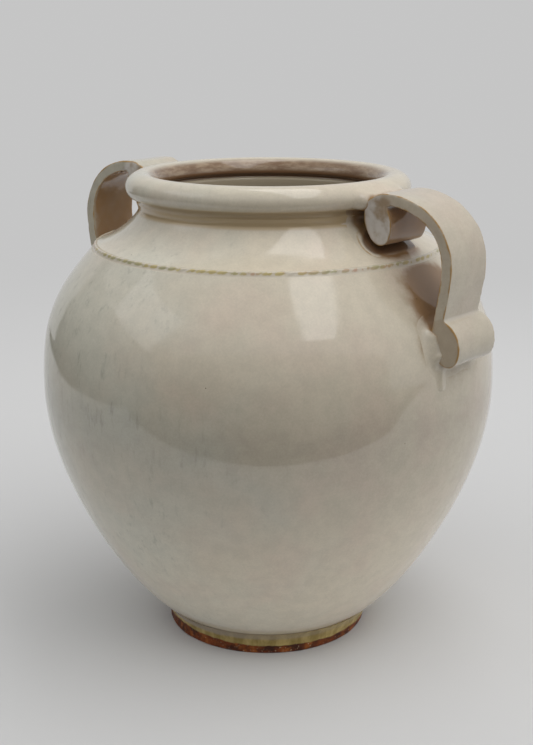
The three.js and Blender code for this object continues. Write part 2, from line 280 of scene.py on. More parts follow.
def creamGlaze(name, level, paintedShadeMixLevel):
    # the same glaze on every piece, its paleness set by the level, which paints light and shade per piece,
    # with painted shade in brown in hidden corners too
    look = glazeLook
    material, tree, place = startMaterial(name)
    side = addNode(tree, "VectorMath", {"operation": "DOT_PRODUCT"},
                   {0: place, 1: look["coolSide"]}).outputs["Value"]
    drift = calc(tree, "ADD", calc(tree, "MULTIPLY", side, 3.4), cloud(tree, place, 55, 3))
    cool = between(tree, drift, 0.42, 0.95)
    blush = between(tree, cloud(tree, place, 34, 4, shift=3), 0.42, 0.7, 0.0, 0.8)
    colour = mixed(tree, blush, look["cream"], look["pink"])
    colour = mixed(tree, cool, colour, look["cool"])
    grain = between(tree, cloud(tree, place, 1.1, 4, 0.65, shift=7), 0.3, 0.7, 0.955, 1.03)
    mottle = between(tree, cloud(tree, place, 8, 4, 0.6, shift=9), 0.3, 0.7, 0.95, 1.035)
    colour = shaded(tree, shaded(tree, colour, grain), mottle)
    streaks = between(tree, cloud(tree, place, 4, 5, 0.65, 15, (1, 1, 0.25)), 0.5, 0.72)
    colour = shaded(tree, colour, between(tree, calc(tree, "MULTIPLY", streaks, cool), 0, 1, 1.0, 0.8))
    # painted light and shade by height, times the piece's level of painted light
    colour = shaded(tree, colour, calc(tree, "MULTIPLY", paintedLightLevel(tree, place), level))

    # painted shade: the glaze turns brown and darker where handles and pot hide the spot from the light above
    paintedShade = named(tree, "paintedShade")
    patchy = between(tree, cloud(tree, place, 7, 4, shift=21), 0.3, 0.7, -0.035, 0.035)
    paintedShadeMix = between(tree, calc(tree, "ADD", paintedShade, patchy), 0.08, 0.34, 0.0, 0.97)
    colour = mixed(tree, paintedShadeMix, colour, shaded(tree, look["shadeBrown"], paintedShadeMixLevel))
    # painted shade under the rim, olive-tinted
    colour = mixed(tree, named(tree, "oliveUnderShade"), colour, look["oliveUnderShade"])
    blots = cloud(tree, place, 11, 3, 0.5, 27)
    pale = mixed(tree, between(tree, blots, 0.36, 0.6), look["tan"], look["milk"])
    colour = mixed(tree, calc(tree, "MULTIPLY", named(tree, "face"), 0.8), colour, pale)
    colour = mixed(tree, calc(tree, "MULTIPLY", named(tree, "tan"), 0.45), colour, look["tan"])
    colour = mixed(tree, calc(tree, "MULTIPLY", named(tree, "pool"), 0.7), colour, look["pooled"])
    # painted shade, near-black, in the crevice under the upper rolls
    colour = mixed(tree, calc(tree, "MULTIPLY", named(tree, "creviceShade"), 0.9), colour, look["creviceShade"])
    wander = between(tree, cloud(tree, place, 7, 4, shift=5), 0.3, 0.62, 0.45, 1.0)
    thin = calc(tree, "MULTIPLY", named(tree, "thin"), wander)
    colour = mixed(tree, between(tree, thin, 0.16, 0.6), colour, look["ochre"])
    colour = mixed(tree, between(tree, thin, 0.62, 1.0, 0.0, 0.5), colour, look["umber"])
    high = addNode(tree, "SeparateXYZ", values={0: place}).outputs["Z"]
    paler = between(tree, cloud(tree, place, 16, 5, 0.65, 23, (1, 1, 4)), 0.38, 0.66)
    paler = calc(tree, "MULTIPLY", paler, between(tree, high, 235 * mm, 262 * mm, 0.2, 1.0))
    inner = mixed(tree, paler, look["inside"], look["insidePale"])
    # inside the mouth: painted shade under the lip's overhang, painted light on the ledge below it
    inner = mixed(tree, named(tree, "overhangShade"), inner, look["overhangShade"])
    inner = mixed(tree, named(tree, "ledgeLight"), inner, look["ledgeLight"])
    colour = mixed(tree, named(tree, "inside"), colour, inner)

    cells = addNode(tree, "TexVoronoi", values={"Vector": place, "Scale": 1 / (13 * mm)})
    chosen = between(tree, cells.outputs["Color"], 0.66, 0.7)
    hole = between(tree, cells.outputs["Distance"], 0.014, 0.03, 1.0, 0.0)
    hole = calc(tree, "MULTIPLY", hole, chosen)
    dirt = hole
    for centre, size in marks:
        away = addNode(tree, "VectorMath", {"operation": "DISTANCE"},
                       {0: place, 1: Vector(centre) * mm}).outputs["Value"]
        dirt = calc(tree, "MAXIMUM", dirt, between(tree, away, size * 0.4 * mm, size * mm, 1.0, 0.0))
    colour = mixed(tree, dirt, colour, look["mark"])

    skin = cloud(tree, place, 6, 2, shift=11)
    hollows = cloud(tree, place, 11, 3, 0.6, 19, (1, 1, 0.5))
    rugged = calc(tree, "MULTIPLY", hollows, calc(tree, "MULTIPLY", cool, 3.2))
    fine = cloud(tree, place, 0.9, 3, 0.6, shift=13)
    height = calc(tree, "ADD", calc(tree, "MULTIPLY", skin, 0.8), calc(tree, "MULTIPLY", fine, 0.05))
    height = calc(tree, "SUBTRACT", calc(tree, "ADD", height, rugged), hole)
    bump = addNode(tree, "Bump", values={"Height": height, "Strength": 0.35, "Distance": 0.12 * mm})
    rough = between(tree, cloud(tree, place, 18, 4, shift=17), 0.3, 0.7, 0.06, 0.12)
    shader = addNode(tree, "BsdfPrincipled", values={
        "Base Color": colour, "Roughness": rough, "Normal": bump.outputs[0], "IOR": 1.65})
    endMaterial(tree, shader)
    return material


cordLook = {"cream": (0.56, 0.505, 0.41, 1), "straw": (0.46, 0.375, 0.17, 1),
            "green": (0.37, 0.345, 0.20, 1), "rose": (0.48, 0.32, 0.23, 1)}


def cordGlaze():
    look = cordLook
    material, tree, place = startMaterial("cordGlaze")
    drift = between(tree, cloud(tree, place, 20, 2), 0.42, 0.58)
    blush = between(tree, cloud(tree, place, 26, 2, shift=4), 0.54, 0.64)
    tint = mixed(tree, drift, look["straw"], look["green"])
    tint = mixed(tree, blush, tint, look["rose"])
    patchy = between(tree, cloud(tree, place, 5, 4, shift=8), 0.36, 0.56, 0.15, 1.2)
    thin = calc(tree, "MULTIPLY", named(tree, "thin"), patchy)
    colour = mixed(tree, between(tree, thin, 0.1, 0.8), look["cream"], tint)
    fine = cloud(tree, place, 0.9, 3, 0.6, shift=13)
    bump = addNode(tree, "Bump", values={"Height": fine, "Strength": 0.3, "Distance": 0.1 * mm})
    shader = addNode(tree, "BsdfPrincipled", values={
        "Base Color": colour, "Roughness": 0.2, "Normal": bump.outputs[0], "IOR": 1.55})
    endMaterial(tree, shader)
    return material


footLook = {"clay": (0.22, 0.05, 0.007, 1), "darkClay": (0.05, 0.012, 0.004, 1),
            "warmClay": (0.34, 0.10, 0.018, 1), "chalk": (0.55, 0.42, 0.28, 1),
            "green": (0.30, 0.22, 0.07, 1), "straw": (0.47, 0.35, 0.13, 1), "grey": (0.34, 0.30, 0.27, 1)}


def footFinish():
    look = footLook
    material, tree, place = startMaterial("footFinish")
    blots = between(tree, cloud(tree, place, 6, 5, 0.65), 0.35, 0.65)
    clay = mixed(tree, blots, look["darkClay"], look["clay"])
    clay = mixed(tree, between(tree, cloud(tree, place, 9, 4, shift=2), 0.5, 0.66), clay, look["warmClay"])
    crumbs = between(tree, cloud(tree, place, 1.2, 2, shift=6), 0.66, 0.72)
    clay = mixed(tree, crumbs, clay, look["chalk"])
    streaks = between(tree, cloud(tree, place, 5, 4, 0.6, 9, (1, 1, 0.3)), 0.35, 0.65)
    glaze = mixed(tree, streaks, look["green"], look["straw"])
    glaze = mixed(tree, named(tree, "pool"), glaze, look["grey"])
    coat = named(tree, "coat")
    colour = mixed(tree, between(tree, coat, 0.35, 0.65), clay, glaze)
    rough = between(tree, coat, 0.35, 0.65, 0.6, 0.2)
    sand = cloud(tree, place, 0.7, 4, 0.7, shift=12)
    bump = addNode(tree, "Bump", values={"Height": sand, "Strength": 0.5, "Distance": 0.2 * mm})
    shader = addNode(tree, "BsdfPrincipled", values={
        "Base Color": colour, "Roughness": rough, "Normal": bump.outputs[0], "IOR": 1.4})
    endMaterial(tree, shader)
    return material


# the collar gets a paler copy of the glaze as painted light and the handles a darker copy as painted shade;
# the brown of the painted shade is darkest on the body
glaze = creamGlaze("creamGlaze", 1.0, 0.76)
collarGlazePaintedPaler = creamGlaze("collarGlazePaintedPaler", 1.07, 0.85)
handleGlazePaintedDarker = creamGlaze("handleGlazePaintedDarker", 0.87, 1.0)
print("materials ready")


# Outlines of the turned pieces, as radius and height

bellySizes = {"footRadius": 62, "bottom": 12.3, "underReach": 23.5, "underRise": 12.1, "radius": 135,
              "widest": 157, "lowFullness": 60, "highFullness": 42.5, "topRadius": 104, "top": 236,
              "topReach": 20.6, "topDrop": 23.9, "wall": 7.5, "floor": 21.3, "cove": 12,
              "coveReach": 24, "steps": 240}
collarSizes = {"footRadius": 101.6, "foot": 238.6, "lean": 11.5, "rise": 4, "neckRadius": 76.4, "neck": 258,
               "neckLean": 2.5, "neckRise": 5.7, "flare": 1, "top": 262.15, "bottom": 236.1,
               "innerFoot": 94.2, "wall": 7.8, "steps": 240}
rimSizes = {"radius": 83.9, "width": 19, "height": 16.2, "top": 279.5, "seatRadius": 77.4, "seat": 262.15,
            "outerTuck": 40, "innerTuck": 4, "throat": 65.8, "stepOut": 2.2, "stepDrop": 2.6, "steps": 240}


def bellyOutline():
    s = bellySizes
    low = curve((s["footRadius"], s["bottom"]),
                (s["footRadius"] + s["underReach"], s["bottom"] + s["underRise"]),
                (s["radius"], s["widest"] - s["lowFullness"]), (s["radius"], s["widest"]), 54)
    high = curve((s["radius"], s["widest"]), (s["radius"], s["widest"] + s["highFullness"]),
                 (s["topRadius"] + s["topReach"], s["top"] - s["topDrop"]), (s["topRadius"], s["top"]), 36)
    return low + high[1:]


def collarOutline():
    s = collarSizes
    slope = curve((s["footRadius"], s["foot"]), (s["footRadius"] - s["lean"], s["foot"] + s["rise"]),
                  (s["neckRadius"] + s["neckLean"], s["neck"] - s["neckRise"]),
                  (s["neckRadius"], s["neck"]), 34)
    flare = curve((s["neckRadius"], s["neck"]), (s["neckRadius"], s["neck"] + 1.6),
                  (s["neckRadius"] + s["flare"] * 0.4, s["top"] - 1.6),
                  (s["neckRadius"] + s["flare"], s["top"]), 6)
    return slope + flare[1:]


def rimOutline():
    # a hollow under the roll, a fine crease, then the roll itself up and over to its inner side
    s = rimSizes
    halfWidth, halfHeight = s["width"] / 2, s["height"] / 2
    middle = (s["radius"] - halfWidth, s["top"] - halfHeight)
    roll = []
    turn = 180 + s["outerTuck"] + s["innerTuck"]
    steps = 56
    for index in range(steps + 1):
        angle = math.radians(turn * index / steps - s["outerTuck"])
        roll += points((middle[0] + halfWidth * math.cos(angle), middle[1] + halfHeight * math.sin(angle)))
    start = (roll[0].x / mm, roll[0].z / mm)
    hollow = curve((s["seatRadius"], s["seat"]), (s["seatRadius"] + 0.2, s["seat"] + 2.2),
                   (start[0] - 2.6, start[1] + 0.2), (start[0] - 0.7, start[1] + 0.5), 10)
    return hollow + roll


def potOutline():
    return bellyOutline() + collarOutline() + rimOutline()


# Strap handles, each one strip of clay whose ends were rolled up and pressed on

handleSizes = {"width": 36, "thick": 7.2, "press": 1.8, "topDrop": 6.8, "topOut": 4, "outDrop": 40.6,
               "inset": 0.4, "topFullness": 27, "sideFullness": 17.3, "rootInset": 4.4, "rootRise": 10.3,
               "upperThick": 8.5, "upperTuck": 2.2, "upperLean": 14,
               "lowerThick": 8.7, "lowerTall": 12.8, "lowerLean": 18, "lowerDrop": 36.5, "lowerSink": 0.4,
               "spare": 0.4, "grain": 0.7, "soften": 4}
# the strap's start, laid over the upper roll: how far before the top and below it
strapStart = {"in": 2.4, "drop": 3.9, "pullIn": 0.5, "pullDrop": 0.9, "topPull": 2.2}
# soft dents left by the fingers, as depths and the lengths that they run over
dents = {"broad": 0.35, "broadLength": 16, "small": 0.1, "smallLength": 6, "end": 0.35, "endLength": 9,
         "trim": 0.5}
rollEnds = {"reach": 15.5, "fade": 3, "strapTan": 0.35}
rightHandle = {"lift": 0, "upperTall": 13.6, "turn": 0, "seed": 1, "farEnd": 2.2}
leftHandle = {"lift": 4.3, "upperTall": 11, "turn": 181, "seed": 2, "farEnd": 0}


def radiusAt(line, z):
    for low, high in zip(line, line[1:]):
        if low.z <= z * mm <= high.z:
            return (low.x + (high.x - low.x) * (z * mm - low.z) / (high.z - low.z)) / mm
    return line[-1].x / mm


def rollPlaces(plan):
    s = handleSizes
    lowerZ = bellySizes["top"] - s["lowerDrop"] + plan["lift"]
    strapTop = rimSizes["top"] - s["topDrop"] + plan["lift"]
    upper = (rimSizes["radius"] + s["upperThick"] - s["press"],
             strapTop + s["thick"] / 2 - s["upperTuck"] - plan["upperTall"])
    lower = (radiusAt(bellyOutline(), lowerZ) + s["lowerThick"] - s["press"] - s["lowerSink"], lowerZ)
    return upper, lower, strapTop


def strapLine(plan):
    s = handleSizes
    upper, lower, strapTop = rollPlaces(plan)
    top = (upper[0] + s["topOut"], strapTop)
    out = (lower[0] - s["inset"], rimSizes["top"] - s["outDrop"] + plan["lift"])
    root = (lower[0] - s["rootInset"], lower[1] + s["rootRise"])
    begin = strapStart
    over = curve((upper[0] - begin["in"], strapTop - begin["drop"]),
                 (upper[0] - begin["pullIn"], strapTop - begin["pullDrop"]),
                 (top[0] - begin["topPull"], strapTop), top, 5)
    arch = curve(top, (top[0] + s["topFullness"], top[1]), (out[0], out[1] + s["sideFullness"]), out, 36)
    drop = (out[1] - root[1]) / 3
    leg = curve(out, (out[0], out[1] - drop), (root[0] + (out[0] - root[0]) / 3, root[1] + drop), root, 16)
    return over + arch[1:] + leg[1:] + points((root[0], lower[1] + s["lowerTall"] * 0.3))


def addStrap(bm, line):
    s = handleSizes
    rows, columns = len(line) - 1, 8
    grid = bmesh.ops.create_grid(bm, x_segments=rows, y_segments=columns, size=1)
    outer = beside(line, -s["thick"] / 2)
    for vert in grid["verts"]:
        row = round((vert.co.x + 1) / 2 * rows)
        across = vert.co.y
        vert.co = outer[row] + Vector((0, across * s["width"] / 2 * mm, 0))
    faces = list({face for vert in grid["verts"] for face in vert.link_faces})
    bmesh.ops.recalc_face_normals(bm, faces=faces)
    if sum(face.normal.dot(Vector((1, 0, 1))) for face in faces) < 0:
        bmesh.ops.reverse_faces(bm, faces=faces)
    bmesh.ops.solidify(bm, geom=faces, thickness=s["thick"] * mm)


def addRoll(bm, middle, halfThick, halfTall, lean, farEnd=0):
    s = handleSizes
    made = bmesh.ops.create_circle(bm, cap_ends=True, cap_tris=False, segments=56, radius=mm)
    verts = made["verts"]
    bmesh.ops.scale(bm, vec=(halfThick + s["spare"], halfTall + s["spare"], 1), verts=verts)
    bmesh.ops.rotate(bm, matrix=Matrix.Rotation(math.radians(lean), 3, "Z"), verts=verts)
    bmesh.ops.rotate(bm, matrix=Matrix.Rotation(math.pi / 2, 3, "X"), verts=verts)
    bmesh.ops.translate(bm, vec=Vector((middle[0], -s["width"] / 2, middle[1])) * mm, verts=verts)
    face = verts[0].link_faces[0]
    pulled = bmesh.ops.extrude_face_region(bm, geom=[face], use_keep_orig=True)
    moved = [item for item in pulled["geom"] if isinstance(item, bmesh.types.BMVert)]
    bmesh.ops.translate(bm, vec=(0, (s["width"] + farEnd) * mm, 0), verts=moved)


def melted(bm, grain):
    # the separate shapes flow together as one skin of clay
    mesh = bpy.data.meshes.new("melting")
    bm.to_mesh(mesh)
    bm.free()
    holder = bpy.data.objects.new("melting", mesh)
    bpy.context.scene.collection.objects.link(holder)
    change = holder.modifiers.new("skin", "REMESH")
    change.mode = "VOXEL"
    change.voxel_size = grain * mm
    bpy.context.view_layer.update()
    skin = bpy.data.meshes.new_from_object(holder.evaluated_get(bpy.context.evaluated_depsgraph_get()))
    bpy.data.objects.remove(holder)
    bpy.data.meshes.remove(mesh)
    done = bmesh.new()
    done.from_mesh(skin)
    bpy.data.meshes.remove(skin)
    return done


def dentHandle(bm, seed):
    d = dents
    bm.normal_update()
    for vert in bm.verts:
        broad = noise.noise(vert.co / (d["broadLength"] * mm) + seed) * d["broad"]
        small = noise.noise(vert.co / (d["smallLength"] * mm) + seed) * d["small"]
        end = abs(vert.normal.y) * d["end"] * noise.noise(vert.co / (d["endLength"] * mm) - seed)
        vert.co += vert.normal * (broad + small + end - d["trim"]) * mm


def markRollEnds(bm, upper, lower):
    # the flat sides: blotched on the upper roll, tan on the lower one and a little on the strap
    blotched, tanned = bm.verts.layers.float.new("face"), bm.verts.layers.float.new("tan")
    for vert in bm.verts:
        sideways = eased((abs(vert.normal.y) - 0.6) / 0.3)
        away = [math.hypot(vert.co.x / mm - middle[0], vert.co.z / mm - middle[1])
                for middle in (upper, lower)]
        nearUpper, nearLower = (eased((rollEnds["reach"] - distance) / rollEnds["fade"]) for distance in away)
        vert[blotched] = sideways * nearUpper
        vert[tanned] = sideways * max(nearLower, rollEnds["strapTan"] * (1 - nearUpper))


def shapeHandle(plan):
    s = handleSizes
    upper, lower, _ = rollPlaces(plan)
    bm = bmesh.new()
    addStrap(bm, strapLine(plan))
    addRoll(bm, upper, s["upperThick"], plan["upperTall"], s["upperLean"])
    addRoll(bm, lower, s["lowerThick"], s["lowerTall"], s["lowerLean"], plan["farEnd"])
    bmesh.ops.recalc_face_normals(bm, faces=bm.faces)
    bm = melted(bm, s["grain"])
    smoothAll(bm, s["soften"])
    dentHandle(bm, Vector((plan["seed"] * 13.7, 0, 0)))
    markGlaze(bm, 9, 0.34)
    markRollEnds(bm, upper, lower)
    bmesh.ops.rotate(bm, matrix=Matrix.Rotation(math.radians(plan["turn"]), 3, "Z"), verts=bm.verts)
    return bm


rightShape = shapeHandle(rightHandle)
leftShape = shapeHandle(leftHandle)
rightTree = BVHTree.FromBMesh(rightShape)
leftTree = BVHTree.FromBMesh(leftShape)


def treeOf(bm):
    tree = BVHTree.FromBMesh(bm)
    bm.free()
    return tree


def findSurroundings():
    everything = turned(potOutline(), 72)
    for shape in (rightShape, leftShape):
        mesh = bpy.data.meshes.new("rough")
        shape.to_mesh(mesh)
        everything.from_mesh(mesh)
        bpy.data.meshes.remove(mesh)
    return treeOf(everything)


surroundings = findSurroundings()
print("handles shaped")


def markInside(bm, outer, lowest=0):
    # inside is what lies a few millimetres behind the outer line
    outerTree = treeOf(turned(outer, 48))
    inside = bm.verts.layers.float.new("inside")
    for vert in bm.verts:
        if vert.co.z > lowest * mm:
            vert[inside] = eased((outerTree.find_nearest(vert.co)[3] / mm - 3) / 3)
    return inside


# Belly, one thrown piece with its floor

def makeBody():
    s = bellySizes
    outer = bellyOutline()
    wall = [place for place in beside(outer, -s["wall"])
            if (s["floor"] + s["cove"]) * mm < place.z < s["top"] * mm][::2]
    coveTop = (wall[0].x / mm, wall[0].z / mm)
    cove = curve(coveTop, (coveTop[0] - 6, s["floor"] + 4), (coveTop[0] - 13, s["floor"]),
                 (coveTop[0] - s["coveReach"], s["floor"]), 6)
    mouth = wall[-1] + (wall[-1] - wall[-2]).normalized() * 0.2 * mm
    mouth.z = s["top"] * mm
    ground = points((30, s["floor"]), (15, s["floor"]), (0, s["floor"]))
    below = points((0, s["bottom"]), (20, s["bottom"]), (40, s["bottom"]), (50, s["bottom"]))
    bm = turned(below + outer + [mouth] + wall[::-1] + cove[1:] + ground, s["steps"])
    makeUneven(bm)
    markInside(bm, outer, s["bottom"] + 1)
    markPaintedShade(bm, surroundings)
    addPiece("potBody", bm, "body", glaze)


makeBody()


# Collar: the upper shoulder and the neck

def makeCollar():
    s = collarSizes
    outer = collarOutline()
    lowest, highest = (s["bottom"] + 2) * mm, (s["neck"] - 2) * mm
    wall = [place for place in beside(outer, -s["wall"])
            if place.x < (s["innerFoot"] - 1) * mm and lowest < place.z < highest]
    throat = curve((rimSizes["throat"], s["top"]), (rimSizes["throat"], s["top"] - 3),
                   (wall[-1].x / mm - 0.6, wall[-1].z / mm + 3), (wall[-1].x / mm, wall[-1].z / mm), 5)
    foot = points((s["innerFoot"], s["bottom"]), (s["footRadius"] - 0.8, s["bottom"]))
    bm = turned(foot + outer + throat + wall[-2::-1] + foot[:1], s["steps"])
    makeUneven(bm)
    inside = markInside(bm, outer)
    markPaintedShade(bm, surroundings, 12)
    # painted shade under the rim, olive-tinted, from just below the neck upwards
    oliveUnderShade = bm.verts.layers.float.new("oliveUnderShade")
    for vert in bm.verts:
        vert[oliveUnderShade] = eased((vert.co.z / mm - s["neck"] + 2.4) / 1.8) * (1 - vert[inside])
    addPiece("potCollar", bm, "collar", collarGlazePaintedPaler)


makeCollar()


# Rolled rim, with a small step inside the mouth

def makeRim():
    s = rimSizes
    outer = rimOutline()
    lip = (outer[-1].x / mm, outer[-1].z / mm)
    shelf = (lip[0] + s["stepOut"], lip[1] - s["stepDrop"])
    groove = curve(lip, (lip[0] + 0.4, lip[1] - 1.6), (lip[0] + 2.6, lip[1] - 1.2), shelf, 6)
    step = curve(shelf, (lip[0] + 1.7, lip[1] - 3.6), (s["throat"], lip[1] - 3.2),
                 (s["throat"], lip[1] - 4.8), 5)
    down = points((s["throat"] - 0.1, s["seat"] + 2), (s["throat"], s["seat"]))
    bm = turned(outer + groove[1:] + step[1:] + down + outer[:1], s["steps"])
    makeUneven(bm)
    middle = s["radius"] - s["width"] / 2
    inside = bm.verts.layers.float.new("inside")
    for vert in bm.verts:
        vert[inside] = eased((middle - math.hypot(vert.co.x, vert.co.y) / mm - 2.5) / 5)
    markPaintedShade(bm, surroundings, 12)
    # painted shade, olive-tinted, on the underside of the roll below its crease
    oliveUnderShade = bm.verts.layers.float.new("oliveUnderShade")
    crease = outer[10].z / mm
    for vert in bm.verts:
        radius = math.hypot(vert.co.x, vert.co.y) / mm
        vert[oliveUnderShade] = eased((crease + 0.8 - vert.co.z / mm) / 1.6) * eased((radius - s["throat"] - 4) / 3)
    # inside the mouth a band of painted shade under the lip's overhang and under it a ledge of painted light
    ledgeLight, overhangShade = bm.verts.layers.float.new("ledgeLight"), bm.verts.layers.float.new("overhangShade")
    for vert in bm.verts:
        vert[ledgeLight] = eased((lip[1] - 2.2 - vert.co.z / mm) / 1.2)
        vert[overhangShade] = eased((lip[1] + 2.4 - vert.co.z / mm) / 1.6)
    addPiece("potRim", bm, "rim", glaze)


makeRim()


# Notched cord round the shoulder, half sunk in glaze

cordSizes = {"lowRadius": 104.4, "low": 235.5, "bendRadius": 101.8, "bend": 238.5,
             "highRadius": 99.2, "high": 239.5, "proud": 0.9, "sink": 0.25, "back": 1.8, "beadSteps": 16,
             "notches": 108, "notchDepth": 0.5, "slant": 2.2, "stepsPerNotch": 7, "tint": 0.42}


def makeCord():
    s = cordSizes
    low = Vector((s["lowRadius"], 0, s["low"]))
    bend = Vector((s["bendRadius"], 0, s["bend"]))
    high = Vector((s["highRadius"], 0, s["high"]))
    bead = []
    for index in range(s["beadSteps"] + 1):
        share = index / s["beadSteps"]
        first, second = low.lerp(bend, share), bend.lerp(high, share)
        out = Vector((second.z - first.z, 0, first.x - second.x)).normalized()
        stand = (s["proud"] + s["sink"]) * math.sin(math.pi * share) ** 4 - s["sink"]
        bead.append((first.lerp(second, share) + out * stand) * mm)
    inward = Vector((-s["back"], 0, -s["back"])) * mm
    back = [bead[-1] + inward, bead[0] + inward]
    bm = turned(bead + back + bead[:1], s["notches"] * s["stepsPerNotch"])
    thin = bm.verts.layers.float.new("thin")
    middle = (low + bend * 2 + high) / 4
    for vert in bm.verts:
        angle = math.atan2(vert.co.y, vert.co.x)
        height = (vert.co.z / mm - middle.z) / (high.z - low.z) * 2  # -1 to 1 across the cord
        radial = Vector((vert.co.x, vert.co.y, 0)).normalized()
        over = max(0, 1 - abs(height) * 1.6)
        centre = math.exp(-(height / s["tint"]) ** 2)
        wander = noise.noise(vert.co / (16 * mm))
        phase = angle * s["notches"] - s["slant"] * height + wander * 1.4
        notch = (0.5 - 0.5 * math.cos(phase)) ** 2
        deep = s["notchDepth"] * (0.7 + 0.6 * noise.noise(vert.co / (7 * mm) + Vector((9, 0, 0))))
        vert.co -= radial * notch * deep * over * mm
        vert[thin] = limited(centre * (1.15 - 0.75 * notch))
    makeUneven(bm)
    addPiece("shoulderCord", bm, "shoulder_cord", cordGlaze(), sharp=60)


makeCord()


# Foot ring: glazed above, bare clay below a wandering line

footSizes = {"radius": 61.4, "topRadius": 62.4, "height": 12, "width": 14, "wear": 1.6, "coat": 0.45,
             "flareOut": 4, "flareUp": 3, "lineMiddle": 5.2, "lineSwing": 2.6, "lineWander": 0.7,
             "lineRipple": 0.6, "greyFrom": 9.0, "pits": 0.16, "hollows": 0.35, "lean": 1.0, "steps": 400}


def makeFoot():
    s = footSizes
    inner = s["radius"] - s["width"]
    wear = curve((s["radius"] - s["wear"], 0), (s["radius"] - s["wear"] * 0.4, 0),
                 (s["radius"], s["wear"] * 0.4), (s["radius"], s["wear"]), 5)
    side = curve((s["radius"], s["wear"]), (s["radius"] - 0.2, 5), (s["radius"] + 0.2, 10.5),
                 (s["topRadius"] + s["flareOut"], s["height"] + s["flareUp"]), 30)
    top = points((inner + 6, s["height"]), (inner, s["height"]))
    inside = points((inner, 8), (inner, 4), (inner, s["wear"]))
    under = points((inner + s["wear"], 0), (inner + 5, 0), (inner + 9, 0))
    bm = turned(wear + side[1:] + top + inside + under + wear[:1], s["steps"])
    coat = bm.verts.layers.float.new("coat")
    pool = bm.verts.layers.float.new("pool")
    toCamera = math.radians(cameraAngle)
    leanWay = Vector((math.cos(toCamera - math.pi / 2), math.sin(toCamera - math.pi / 2), 0))
    for vert in bm.verts:
        z = vert.co.z / mm
        radius = math.hypot(vert.co.x, vert.co.y) / mm
        turn = math.atan2(vert.co.y, vert.co.x) - toCamera
        radial = Vector((math.cos(turn + toCamera), math.sin(turn + toCamera), 0))
        wander = (noise.noise(radial * 7) * s["lineWander"]
                  + noise.noise(radial * 24 + Vector((5, 0, 0))) * s["lineRipple"])
        line = s["lineMiddle"] + s["lineSwing"] * max(0, -math.sin(turn)) ** 1.3 + wander
        outside = eased((radius - inner - 7) / 3)
        covered = eased((z - line) / 0.8 + 0.5) * outside
        vert[coat] = covered
        grey = eased((z - s["greyFrom"]) / 2.2 + wander * 0.3)
        vert[pool] = grey * outside * (0.45 - 0.45 * math.sin(turn))
        pits = (noise.noise(vert.co / (2.2 * mm)) * s["pits"]
                + noise.noise(vert.co / (9 * mm)) * s["hollows"])
        bulge = s["coat"] * covered * (1 + 0.8 * math.exp(-((z - line - 0.6) / 0.8) ** 2))
        if z > 0.05 and radius > inner + 1:
            vert.co += radial * (bulge - s["coat"] + pits * (1 - covered) - 0.1) * mm
        if z < s["height"]:
            vert.co += leanWay * s["lean"] * (1 - z / s["height"]) * mm
    addPiece("footRing", bm, "foot_ring", footFinish(), sharp=50)


makeFoot()


# Clay and glaze worked into the joints: a skin on the pot that climbs the handle where they meet

lutingSizes = {"sink": 0.12, "side": 9, "grain": 0.7, "thick": 1.5, "ridge": 0.2, "ridgeWidth": 1.1,
               "wobble": 0.2, "wobbleLength": 12, "edgeSink": 0.4, "edgeFade": 2, "overlap": 1,
               "smoothing": 5, "edging": 0.55}
# painted shade, near-black, in the crevice close to the handle: how dark, how far from it and up to which
# height
upperLuting = {"from": 241, "to": 279.3, "follow": 0, "fillet": 8.2,
               "creviceShade": 1.0, "creviceShadeReach": 5.2, "creviceShadeTop": 262, "paintedShade": 12}
lowerLuting = {"from": 172, "to": 225, "follow": 1, "fillet": 7,
               "creviceShade": 0.0, "creviceShadeReach": 3, "creviceShadeTop": 200, "paintedShade": 60}
glazeRun = {"across": -14.5, "width": 2.4, "height": 1.1, "top": 190, "bottom": 160}


def walked(line, startZ, endZ, step):
    # evenly spaced places along the pot's outline between two heights, with the way out at each
    kept = [place for place in line if startZ * mm <= place.z <= endZ * mm]
    places = []
    left = 0.0
    for first, second in zip(kept, kept[1:]):
        length = (second - first).length
        along = (second - first) / length if length else Vector((0, 0, 1))
        while left < length:
            places.append((first + along * left, Vector((along.z, 0, -along.x))))
            left += step * mm
        left -= length
    return places


def lutingRise(gap, reach):
    # a round fillet up the handle and a low ridge where the worked clay ends
    rise = reach - math.sqrt(reach ** 2 - (reach - gap) ** 2) if gap < reach else 0.0
    return rise + lutingSizes["ridge"] * math.exp(-((gap - reach) / lutingSizes["ridgeWidth"]) ** 2)


def runRise(run, plan, place, across):
    along = (place.z / mm - plan["lift"] - run["top"]) / (run["bottom"] - run["top"])
    side = (across / mm - run["across"]) / run["width"]
    return run["height"] * math.exp(-side * side) * eased((1.1 - along) * 4) * eased((along + 0.2) * 6)


